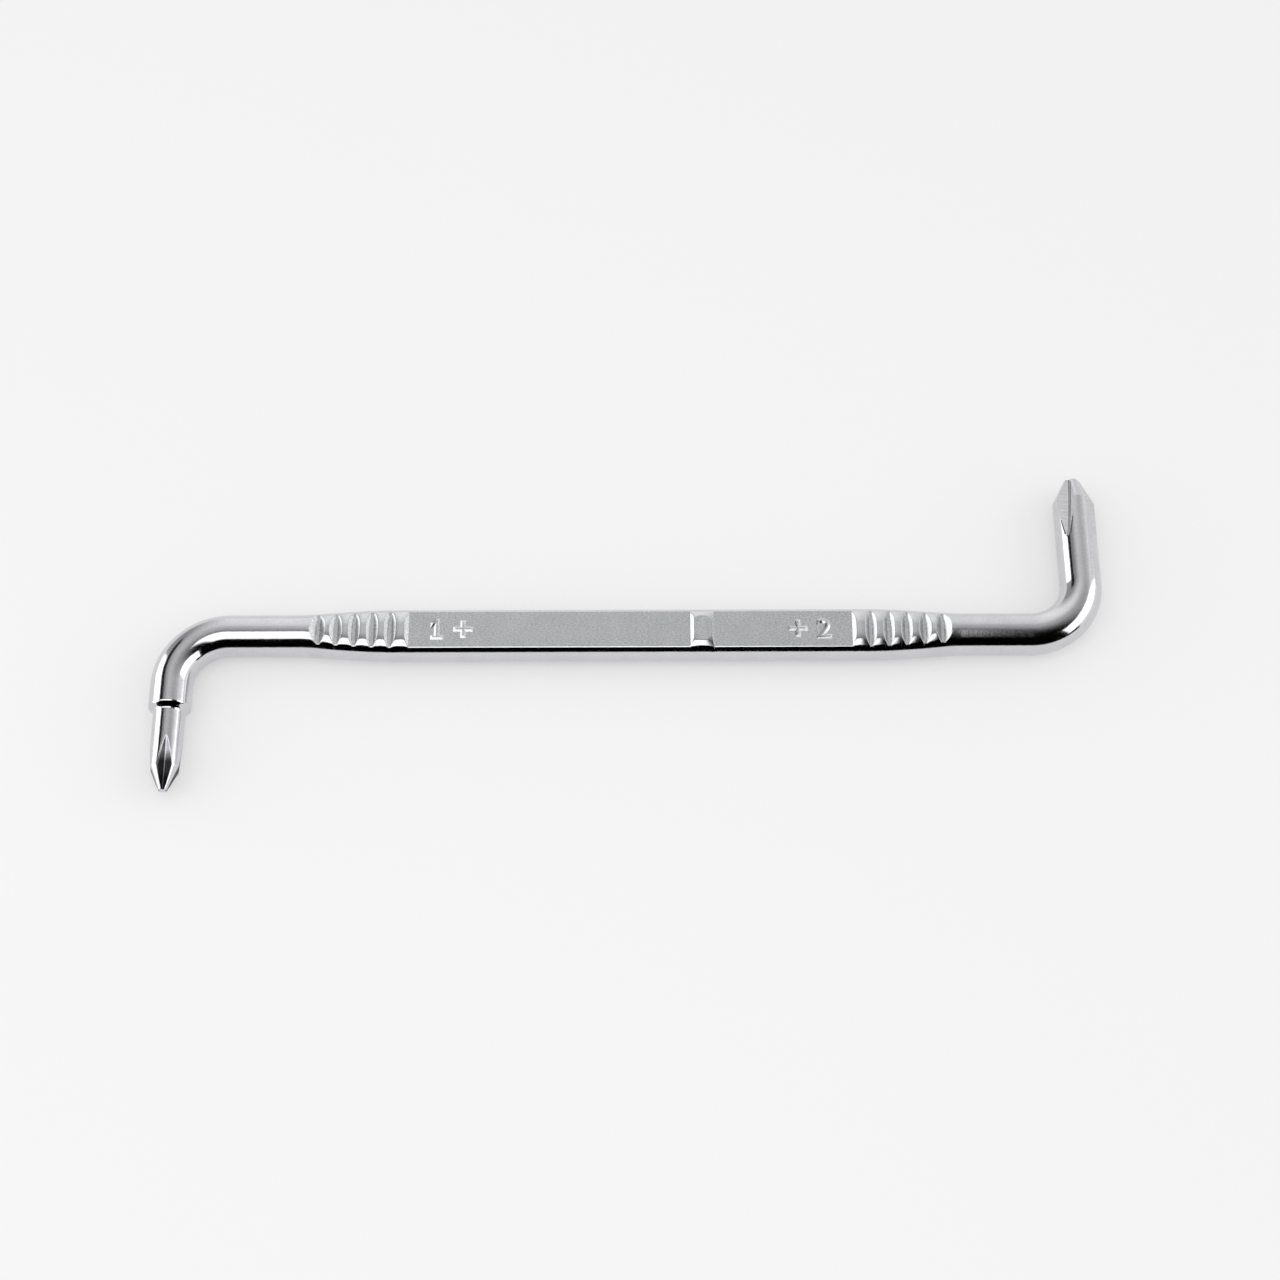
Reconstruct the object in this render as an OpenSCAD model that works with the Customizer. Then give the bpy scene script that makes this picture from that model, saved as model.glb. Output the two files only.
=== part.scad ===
// Offset screwdriver: one bar, bent at both ends, with a size 1 and a size 2 cross tip.
// The tool lies flat. X runs along the bar, the size 1 blade points to -Y and the size 2 blade
// to +Y. The origin is on the table, midway along the bar and midway between the two tips.

/* [Bar] */
// Diameter of the round bar, the bends and the size 2 blade
bar_d = 6; // [5.6:0.1:7]
// Distance between the centrelines of the two blades
blade_gap = 128.8; // [115:0.1:160]
// Radius of both bends, at the centreline
bend_r = 7.8; // [5:0.1:10]

/* [Grip] */
// Width of the swelled middle
grip_w = 7.5; // [6.6:0.1:9]
// Height of the swelled middle where nothing is pressed
grip_h = 5.3; // [4.8:0.05:5.8]
// Thickness left between the two pressed panels
flat_t = 4.2; // [3.4:0.05:4.6]
// Length of each pressed panel, along its floor
panel_l = 62.5; // [50:0.1:64]
// Slope of the pressed walls, from the panel's plane
wall_angle = 40; // [35:1:60]
// Distance from the middle to where the bar is round again
swell_end = 46.6; // [46:0.1:54]
// Distance from the middle to where the grip has its full width
full_width_at = 33; // [25:0.1:38]
// Distance from the middle to where the grip is down to its own height
full_height_at = 42; // [38:0.1:44]

/* [Flutes] */
// Number of pressed flutes past each end of a panel
flute_count = 5; // [1:1:5]
// Distance from the middle to the first flute
flute_first = 33.9; // [33.6:0.1:34.5]
// Distance from one flute to the next
flute_pitch = 2.53; // [2.2:0.01:2.6]
// Width of a flute's floor
flute_floor = 0.4; // [0.3:0.05:0.8]

/* [Rib] */
// Distance from the middle to the centre of the raised rib
rib_at = 10.1; // [-20:0.1:20]
// Width of the rib at its foot
rib_w = 3.4; // [2:0.1:6]
// Height of the rib over the panel
rib_h = 0.4; // [0.2:0.05:0.5]
// Run of the rib's long wall
rib_long_run = 0.6; // [0.1:0.05:0.9]
// Run of the rib's steep wall
rib_steep_run = 0.25; // [0.05:0.05:0.9]

/* [Size 1 end] */
// Distance from the bar's centreline to the end of the size 1 tip
reach_1 = 23.9; // [20:0.1:32]
// Distance from the bar's centreline to the start of the shoulder
shoulder_at = 11.4; // [10.5:0.1:12]
// Length of the shoulder
shoulder_l = 0.9; // [0.5:0.1:1.5]
// Diameter of the stepped size 1 blade
blade_d_1 = 4.5; // [4:0.1:5.5]
// Diameter of the tip's blunt end
tip_end_d_1 = 1.27; // [1:0.01:1.6]
// Radius that is left between the flutes at the tip
tip_core_r_1 = 0.45; // [0.35:0.01:0.6]
// Length of the milled flutes
tip_flute_l_1 = 7.7; // [6:0.05:8.5]
// Turn of the cross about the blade
tip_turn_1 = -8; // [-45:1:45]

/* [Size 2 end] */
// Distance from the bar's centreline to the end of the size 2 tip
reach_2 = 25.05; // [23:0.05:34]
// Straight length between the bend and the start of the size 2 blade
shank_l_2 = 0.5; // [0.3:0.1:2]
// Diameter of the tip's blunt end
tip_end_d_2 = 2.29; // [1.9:0.01:2.6]
// Radius that is left between the flutes at the tip
tip_core_r_2 = 0.85; // [0.7:0.01:1]
// Length of the milled flutes
tip_flute_l_2 = 10.35; // [8:0.05:11.5]
// Turn of the cross about the blade
tip_turn_2 = 57; // [0:1:90]

/* [Both tips] */
// Angle between the tip's cone and the blade's centreline
tip_cone_angle = 26.5; // [25:0.5:28]
// Height of the slight crown on the blunt end
tip_crown_h = 0.12; // [0.05:0.01:0.2]
// Angle between the two sides of a milled flute
tip_flute_angle = 92; // [90:1:100]
// Width of a milled flute along its root
tip_root_w = 0.3; // [0.1:0.05:0.4]
// Lean of a milled flute's root at the blunt end, from the blade's centreline
tip_root_lean = 7; // [4:0.5:9]

/* [Hidden] */

// Fineness of the round solids
round_fn = 96;
// Points in half a section of the swelled middle
half_ring = 20;
// Sections along one end of the swelled middle
swell_steps = 10;
// Share of the swell that bunches towards the round bar
swell_bias_share = 0.75;
// Share of the blunt end's radius that stays flat
crown_flat_share = 0.55;
// Share of the blade's radius that a milling wheel's rim reaches over it
wheel_rim_share = 1.5;
// Share of the bar's diameter by which a cut runs past what it cuts
overrun_share = 0.5;

bar_r = bar_d / 2;
overrun = bar_d * overrun_share;
// The bar's centreline, seen from the middle of the part's box
bar_y = (reach_1 - reach_2) / 2;
// Where the round bar meets a bend
bend_at = blade_gap / 2 - bend_r;
steel = [0.78, 0.79, 0.81];
satin_steel = [0.66, 0.67, 0.69];

function clamp_share(u) = min(max(u, 0), 1);
function ease(u) = u * u * (3 - 2 * u);
// How far the section at x has gone from round, at swell_end, to its full size, at full_at
function gone(x, full_at) = clamp_share((swell_end - abs(x)) / (swell_end - full_at));
function half_w(x) = bar_r + (grip_w / 2 - bar_r) * ease(pow(gone(x, full_width_at), swell_bias_share));
function half_h(x) = bar_r + (grip_h / 2 - bar_r) * ease(gone(x, full_height_at));

// One section at x: two half circles side by side, going round from below
function ring(x) = [
    for (side = [1, -1], i = [0 : half_ring - 1])
        let (a = (i + 0.5) * 180 / half_ring)
        [x, side * (half_w(x) - half_h(x) + half_h(x) * sin(a)), -side * half_h(x) * cos(a)]
];

// The places of the sections, from one end of the swell to the other
swell_run = swell_end - full_width_at;
stations = concat(
    [for (i = [0 : swell_steps]) -swell_end + swell_run * i / swell_steps],
    [for (i = [swell_steps : -1 : 0]) swell_end - swell_run * i / swell_steps]
);

// Puts its children on the bar's centreline, halfway along it
module on_bar() {
    translate([0, bar_y, bar_r]) children();
}

// The swelled middle before anything is pressed into it
module swelled_middle() {
    ring_n = 2 * half_ring;
    last = len(stations) - 1;
    points = [for (x = stations) each ring(x)];
    sides = [
        for (i = [0 : last - 1], j = [0 : ring_n - 1])
            let (a = i * ring_n + j, b = i * ring_n + (j + 1) % ring_n)
            each [[a, b + ring_n, b], [a, a + ring_n, b + ring_n]]
    ];
    start_cap = [for (j = [0 : ring_n - 1]) j];
    end_cap = [for (j = [ring_n - 1 : -1 : 0]) last * ring_n + j];
    polyhedron(points = points, faces = concat(sides, [start_cap], [end_cap]));
}

// A cut straight across the bar, with this outline seen from the side
module cross_cut(outline) {
    rotate([90, 0, 0]) linear_extrude(height = grip_w + 2 * overrun, center = true) polygon(outline);
}

// Height and run of a pressed wall, from the panel's floor to clear above the bar
wall_top = bar_r + overrun;
wall_run = (wall_top - flat_t / 2) / tan(wall_angle);

// The press that leaves a panel, with or without the rib
module panel_press(with_rib) {
    end_x = panel_l / 2;
    floor_z = flat_t / 2;
    rib_from = rib_at - rib_w / 2;
    rib_to = rib_at + rib_w / 2;
    rib = [
        [rib_from, floor_z],
        [rib_from + rib_long_run, floor_z + rib_h],
        [rib_to - rib_steep_run, floor_z + rib_h],
        [rib_to, floor_z]
    ];
    cross_cut(concat(
        [[-end_x, floor_z]],
        with_rib ? rib : [],
        [[end_x, floor_z], [end_x + wall_run, wall_top], [-end_x - wall_run, wall_top]]
    ));
}

// The press that leaves one flute at x
module flute_press(x) {
    edge = flute_floor / 2;
    floor_z = flat_t / 2;
    cross_cut([
        [x - edge, floor_z],
        [x + edge, floor_z],
        [x + edge + wall_run, wall_top],
        [x - edge - wall_run, wall_top]
    ]);
}

module flute_row() {
    for (side = [-1, 1], i = [0 : flute_count - 1]) flute_press(side * (flute_first + i * flute_pitch));
}

// Middle of the tool, swelled and pressed flat between two dies
module grip() {
    color(satin_steel) on_bar() difference() {
        swelled_middle();
        panel_press(true);
        flute_row();
        rotate([180, 0, 0]) {
            panel_press(false);
            flute_row();
        }
    }
}

// The straight round bar from the swell to a bend, and the bend itself
module round_bar(side) {
    translate([side * swell_end, 0, 0])
        rotate([0, side * 90, 0])
        cylinder(h = bend_at - swell_end, r = bar_r, $fn = round_fn);
    translate([side * bend_at, side * bend_r, 0])
        rotate([0, 0, side > 0 ? -90 : 90])
        rotate_extrude(angle = 90, $fn = round_fn) translate([bend_r, 0]) circle(r = bar_r, $fn = round_fn);
}

// Puts its children on a blade's centreline, with +Z pointing out towards the tip
module on_blade(side) {
    translate([side * blade_gap / 2, 0, 0]) rotate([-side * 90, 0, 0]) children();
}

// A milling wheel with a V rim, whose path leaves one flute of a cross tip
module flute_wheel(blade_r, core_r, flute_l) {
    depth = blade_r - core_r;
    lean = atan(depth / flute_l);
    wheel_r = norm([flute_l, depth]) / (2 * sin(lean - tip_root_lean));
    rim_depth = blade_r * wheel_rim_share;
    root = tip_root_w / 2;
    rim_w = root + rim_depth * tan(tip_flute_angle / 2);
    middle = [core_r + wheel_r * cos(tip_root_lean), 0, wheel_r * sin(tip_root_lean)];
    translate(middle) rotate([90, 0, 0]) rotate_extrude($fn = 2 * round_fn) polygon([
        [wheel_r - rim_depth, -rim_w],
        [wheel_r, -root],
        [wheel_r, root],
        [wheel_r - rim_depth, rim_w]
    ]);
}

// A straight blade with a cross tip: from_z is where it starts, and reach is where the tip ends
module cross_blade(blade_r, from_z, reach, end_r, core_r, flute_l, turn) {
    cone_top = reach - tip_crown_h;
    cone_foot = cone_top - (blade_r - end_r) / tan(tip_cone_angle);
    difference() {
        rotate_extrude($fn = round_fn) polygon([
            [0, from_z],
            [blade_r, from_z],
            [blade_r, cone_foot],
            [end_r, cone_top],
            [end_r * crown_flat_share, reach],
            [0, reach]
        ]);
        for (quarter = [0 : 3])
            translate([0, 0, reach]) rotate([0, 0, turn + quarter * 90]) flute_wheel(blade_r, core_r, flute_l);
    }
}

// Size 1 end: the round bar, the bend and the cone shoulder down to the blade
module size1_shank() {
    color(steel) on_bar() {
        round_bar(-1);
        on_blade(-1) {
            translate([0, 0, bend_r]) cylinder(h = shoulder_at - bend_r, r = bar_r, $fn = round_fn);
            translate([0, 0, shoulder_at])
                cylinder(h = shoulder_l, r1 = bar_r, r2 = blade_d_1 / 2, $fn = round_fn);
        }
    }
}

// Size 1 end: the stepped blade and its cross tip
module size1_blade() {
    color(steel) on_bar() on_blade(-1) cross_blade(
        blade_d_1 / 2, shoulder_at + shoulder_l, reach_1, tip_end_d_1 / 2, tip_core_r_1, tip_flute_l_1, tip_turn_1
    );
}

// Size 2 end: the round bar, the bend and a short straight length past it
module size2_shank() {
    color(steel) on_bar() {
        round_bar(1);
        on_blade(1) translate([0, 0, bend_r]) cylinder(h = shank_l_2, r = bar_r, $fn = round_fn);
    }
}

// Size 2 end: the straight blade at the bar's full diameter and its cross tip
module size2_blade() {
    color(steel) on_bar() on_blade(1) cross_blade(
        bar_r, bend_r + shank_l_2, reach_2, tip_end_d_2 / 2, tip_core_r_2, tip_flute_l_2, tip_turn_2
    );
}

grip();
size1_shank();
size1_blade();
size2_shank();
size2_blade();
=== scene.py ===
"""Dresses the offset screwdriver: one forged, chrome-plated bar with a cross tip at each bent end.

Lengths are in metres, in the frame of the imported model: X runs along the bar, Z is up and the
table is at zero. The sizes that the model also holds are read from it where it shows them, and
are otherwise named here in millimetres times MM.
"""

import logging
import math
from dataclasses import dataclass, field
from enum import Enum
from typing import Callable, Sequence

import bmesh
import bpy
from bmesh.types import BMesh, BMFace, BMVert
from bpy.types import Material, Node, Object
from bpy.types import NodeSocket as Socket
from mathutils import Matrix, Vector


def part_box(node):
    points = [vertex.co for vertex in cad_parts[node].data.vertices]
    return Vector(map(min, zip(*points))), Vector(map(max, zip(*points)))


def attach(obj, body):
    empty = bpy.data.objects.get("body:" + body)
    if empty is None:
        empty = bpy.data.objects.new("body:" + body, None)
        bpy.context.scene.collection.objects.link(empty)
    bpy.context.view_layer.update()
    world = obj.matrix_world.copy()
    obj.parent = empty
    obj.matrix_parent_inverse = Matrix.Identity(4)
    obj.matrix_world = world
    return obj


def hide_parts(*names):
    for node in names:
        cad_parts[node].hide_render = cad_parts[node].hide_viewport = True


Inputs = dict[str | int, object]
Shades = Sequence[tuple[float, float]]

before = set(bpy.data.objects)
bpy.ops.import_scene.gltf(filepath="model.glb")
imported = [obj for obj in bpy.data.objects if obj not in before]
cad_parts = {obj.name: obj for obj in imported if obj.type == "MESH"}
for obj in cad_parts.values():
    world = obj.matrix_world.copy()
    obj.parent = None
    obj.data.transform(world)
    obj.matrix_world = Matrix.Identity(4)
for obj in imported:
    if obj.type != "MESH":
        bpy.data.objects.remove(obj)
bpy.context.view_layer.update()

MM = 0.001
BODY = "root"
WELD = 0.0001 * MM
log = logging.getLogger("offset_screwdriver")


class End(Enum):
    """The two bent ends of the bar, by the way that their blades point along Y."""

    SIZE_1 = -1
    SIZE_2 = 1


class Face(Enum):
    """The two pressed faces of the grip, by the way that they look along Z."""

    UPPER = 1
    LOWER = -1


class GripZone(Enum):
    """The zones of a ring of the grip: its two rounded sides and its two faces."""

    SIDE = "side"
    FACE = "face"


class BladeZone(Enum):
    """The zones of a ring of a cross blade, outwards from the middle of a flute."""

    ROOT = "root"
    FLANK = "flank"
    WING = "wing"


def soft_min(a: float, b: float, blend: float) -> float:
    """Gives the smaller of two heights, rounded off where they are less than a blend apart."""
    overlap = max(blend - abs(a - b), 0.0)
    return min(a, b) - overlap * overlap / (4 * blend)


def soft_max(a: float, b: float, blend: float) -> float:
    """Gives the larger of two heights, rounded off in the same way."""
    return -soft_min(-a, -b, blend)


def ease(share: float) -> float:
    """Turns an even run from 0 to 1 into one that starts and ends level."""
    return share * share * (3 - 2 * share)


def closed_skin(
    rows: Sequence, columns: Sequence, place: Callable[..., Vector], worked: Callable[[Vector], bool]
) -> BMesh:
    """Wraps a flat grid into a tube and closes its ends.

    Args:
        rows: The tube's rings, from one end to the other.
        columns: The points of a ring.
        place: Gives the place of a point from its ring and its point of the ring.
        worked: Tells whether a tool has worked the surface at a point.

    Returns:
        The closed tube, with its faces turned outwards and with material 1 where it is worked.
    """
    bm = bmesh.new()
    bmesh.ops.create_grid(bm, x_segments=len(rows) - 1, y_segments=len(columns), size=1.0)
    for vert in bm.verts:
        row = round((vert.co.x + 1) / 2 * (len(rows) - 1))
        column = round((vert.co.y + 1) / 2 * len(columns)) % len(columns)
        vert.co = place(rows[row], columns[column])
    bmesh.ops.remove_doubles(bm, verts=bm.verts, dist=WELD)
    rims = [edge for edge in bm.edges if edge.is_boundary]
    bmesh.ops.holes_fill(bm, edges=rims, sides=0)
    bmesh.ops.recalc_face_normals(bm, faces=bm.faces)
    for part in bm.faces:
        part.material_index = int(worked(part.calc_center_median()))
    return bm


def spun(bm: BMesh, geom: Sequence, centre: Vector, axis: Vector, angle: float, steps: int) -> list:
    """Sweeps a part of a mesh round the axis through a centre, and gives its copy at the far end."""
    how = {"angle": angle, "steps": steps, "use_merge": False, "use_duplicate": False}
    return bmesh.ops.spin(bm, geom=geom, cent=centre, axis=axis, **how)["geom_last"]


def linked(name: str, data: bpy.types.ID) -> Object:
    """Makes an object of its data and links it to the scene.

    Args:
        name: The object's name.
        data: The data.

    Returns:
        The object, at the origin.
    """
    made = bpy.data.objects.new(name, data)
    bpy.context.scene.collection.objects.link(made)
    return made


def as_object(name: str, bm: BMesh, finishes: Sequence[Material]) -> Object:
    """Makes an object of a mesh.

    Args:
        name: The object's name.
        bm: The mesh, which is freed.
        finishes: The materials, in the order of the faces' material numbers.

    Returns:
        The object, at the origin.
    """
    mesh = bpy.data.meshes.new(name)
    bm.to_mesh(mesh)
    bm.free()
    for finish in finishes:
        mesh.materials.append(finish)
    return linked(name, mesh)


def as_piece(
    name: str, bm: BMesh, finishes: Sequence[Material], crease: float = math.radians(50)
) -> Object:
    """Makes a finished object of a mesh, smooth except along its creases.

    Args:
        name: The object's name.
        bm: The mesh, which is freed.
        finishes: The materials, in the order of the faces' material numbers.
        crease: The least angle between two faces whose shared edge stays sharp.

    Returns:
        The object, at the origin.
    """
    for part in bm.faces:
        part.smooth = True
    for edge in bm.edges:
        if len(edge.link_faces) == 2:
            edge.smooth = edge.calc_face_angle(0.0) < crease
    return as_object(name, bm, finishes)


@dataclass(frozen=True)
class Graph:
    """The nodes of a material or of the world, with short ways to add to them."""

    tree: bpy.types.NodeTree

    @classmethod
    def of(cls, owner: Material | bpy.types.World) -> "Graph":
        """Gives a material or the world its nodes."""
        owner.use_nodes = True
        return cls(owner.node_tree)

    def fill(self, node: Node, inputs: Inputs) -> None:
        """Sets inputs of a node.

        Args:
            node: The node.
            inputs: A value or the socket that feeds the input, by the input's name or number.
        """
        for key, given in inputs.items():
            if isinstance(given, Socket):
                self.tree.links.new(given, node.inputs[key])
            else:
                node.inputs[key].default_value = given

    def add(self, kind: str, inputs: Inputs, output: str, **options: str) -> Socket:
        """Adds a node.

        Args:
            kind: Its type.
            inputs: A value or the socket that feeds the input, by the input's name or number.
            output: The name of the output that is asked for.
            options: The node's settings.

        Returns:
            The output.
        """
        node = self.tree.nodes.new("ShaderNode" + kind)
        for key, option in options.items():
            setattr(node, key, option)
        self.fill(node, inputs)
        return node.outputs[output]

    def place(self) -> Socket:
        """Gives a point's place in the frame, where every piece sits at the origin."""
        return self.add("TexCoord", {}, "Object")

    def along(self, axis: str) -> Socket:
        """Gives a point's place along one axis of the frame."""
        return self.add("SeparateXYZ", {"Vector": self.place()}, axis)

    def ranged(
        self,
        value: Socket,
        band: tuple[float, float],
        to: tuple[float, float] = (0.0, 1.0),
        run: str = "LINEAR",
    ) -> Socket:
        """Carries a value over from one band to another, and keeps it in there."""
        ends = {"From Min": band[0], "From Max": band[1], "To Min": to[0], "To Max": to[1]}
        return self.add("MapRange", {"Value": value, **ends}, "Result", interpolation_type=run)

    def ramp(self, value: Socket, stops: Sequence[tuple[float, tuple[float, float, float]]]) -> Socket:
        """Turns a value into a colour.

        Args:
            value: The value, from 0 to 1.
            stops: The places on the ramp and their colours.

        Returns:
            The colour.
        """
        shade = self.tree.nodes.new("ShaderNodeValToRGB")
        elements = shade.color_ramp.elements
        for at, _ in stops[1:-1]:
            elements.new(at)
        for element, (at, colour) in zip(elements, stops):
            element.position = at
            element.color = (*colour, 1.0)
        self.fill(shade, {"Fac": value})
        return shade.outputs["Color"]

    def seen_directly(self) -> Socket:
        """Tells rays from the camera, chrome or glass from the rest.

        Returns:
            A socket that is 1 for those rays and 0 for the light that falls on the tool.
        """
        path = self.tree.nodes.new("ShaderNodeLightPath")
        seen = path.outputs["Is Camera Ray"]
        for ray in ("Is Glossy Ray", "Is Transmission Ray"):
            seen = self.add("Math", {0: seen, 1: path.outputs[ray]}, "Value", operation="MAXIMUM")
        return seen

    def show(self, surface: Socket) -> None:
        """Gives the material what its surface shows."""
        self.fill(self.tree.nodes["Material Output"], {"Surface": surface})


@dataclass(frozen=True)
class Bar:
    """The round bar that the tool is forged from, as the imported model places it."""

    radius: float
    axis_y: float
    axis_z: float
    blade_x: float
    grip_end_x: float
    bend_radius: float = 7.8 * MM

    @classmethod
    def from_frame(cls) -> "Bar":
        """Reads the bar's sizes from the boxes of the model's nodes.

        Returns:
            The bar.
        """
        low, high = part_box("size2_shank")
        grip_low, grip_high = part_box("grip")
        radius = (high.z - low.z) / 2
        return cls(
            radius=radius,
            axis_y=(grip_low.y + grip_high.y) / 2,
            axis_z=(high.z + low.z) / 2,
            blade_x=high.x - radius,
            grip_end_x=low.x,
        )

    def on_bar(self, x: float, y: float, z: float) -> Vector:
        """Gives the frame's point for one that is measured from the middle of the bar's centreline."""
        return Vector((x, self.axis_y + y, self.axis_z + z))


@dataclass(frozen=True)
class Chrome:
    """Chrome plate on steel, from a mirror to a satin finish.

    A fine grain of the steel shows through the plate: it wavers the reflections and makes the
    finish rougher in some places than in others. A wider mottle shades the plate a little.
    """

    name: str
    colour: tuple[float, float, float]
    roughness: tuple[float, float]
    grain_size: float
    grain_height: float
    stretch: tuple[float, float, float] = (1.0, 1.0, 1.0)
    grain_detail: float = 3.0
    grain_band: tuple[float, float] = (0.3, 0.7)
    mottle_size: float = 3.0 * MM
    mottle_depth: float = 0.06
    mottle_band: tuple[float, float] = (0.35, 0.65)
    speckle: float = 0.1
    # Painted shade: the places along Y between which the plate darkens, and the share of its colour that
    # is left at the dark end.
    painted_shade_between: tuple[float, float] | None = None
    painted_shade_share: float = 0.22

    def build(self) -> Material:
        """Makes the material.

        Returns:
            A node material on Object coordinates.
        """
        material = bpy.data.materials.new(self.name)
        graph = Graph.of(material)
        stretched = graph.add("Mapping", {"Vector": graph.place(), "Scale": self.stretch}, "Vector")
        fine = {"Vector": stretched, "Scale": 1.0 / self.grain_size, "Detail": self.grain_detail}
        grain = graph.add("TexNoise", fine, "Fac")
        inputs = {
            "Metallic": 1.0,
            "Roughness": graph.ranged(grain, self.grain_band, self.roughness),
            "Normal": graph.add("Bump", {"Height": grain, "Distance": self.grain_height}, "Normal"),
            "Base Color": self._shaded(graph, grain),
        }
        graph.fill(material.node_tree.nodes["Principled BSDF"], inputs)
        return material

    def _shaded(self, graph: Graph, grain: Socket) -> Socket:
        """Shades the plate by its mottle and its grain, and darkens it with painted shade towards -Y
        where that is asked for.

        Args:
            graph: The material's nodes.
            grain: The grain.

        Returns:
            The plate's colour.
        """
        mottle = graph.add("TexNoise", {"Vector": graph.place(), "Scale": 1.0 / self.mottle_size}, "Fac")
        mixed = graph.add("Mix", {"Factor": self.speckle, "A": mottle, "B": grain}, "Result")
        lights = zip(self.mottle_band, (1.0 - self.mottle_depth, 1.0))
        colour = graph.ramp(mixed, [(at, tuple(c * light for c in self.colour)) for at, light in lights])
        if self.painted_shade_between is None:
            return colour
        # Painted shade: darkens the plate towards -Y, standing in for the shade that falls deep in the
        # size 1 flutes near the tip.
        share = graph.ranged(graph.along("Y"), self.painted_shade_between, (self.painted_shade_share, 1.0))
        return graph.add("VectorMath", {0: colour, "Scale": share}, "Vector", operation="SCALE")


BRIGHT_CHROME = Chrome(
    "bright_chrome",
    (0.69, 0.69, 0.71),
    roughness=(0.08, 0.14),
    grain_size=0.25 * MM,
    grain_height=0.0035 * MM,
    mottle_depth=0.12,
    speckle=0.6,
)
SATIN_CHROME = Chrome(
    "satin_chrome",
    (0.705, 0.71, 0.725),
    roughness=(0.15, 0.25),
    grain_size=0.15 * MM,
    grain_height=0.014 * MM,
    stretch=(0.5, 1.0, 1.0),
    mottle_depth=0.3,
    speckle=0.85,
)
MILLED_CHROME = Chrome(
    "milled_chrome",
    (0.76, 0.76, 0.775),
    roughness=(0.12, 0.2),
    grain_size=0.3 * MM,
    grain_height=0.01 * MM,
    stretch=(0.15, 1.0, 0.15),
    mottle_depth=0.16,
    speckle=0.8,
)
# The milled plate of the size 1 flutes, with painted shade that darkens it towards the tip.
SHADED_TIP_CHROME = Chrome(
    "shaded_tip_chrome",
    (0.6, 0.6, 0.62),
    roughness=(0.07, 0.13),
    grain_size=0.3 * MM,
    grain_height=0.006 * MM,
    stretch=(0.15, 1.0, 0.15),
    mottle_depth=0.2,
    speckle=0.7,
    painted_shade_between=(-20.4 * MM, -18.9 * MM),
)


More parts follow.
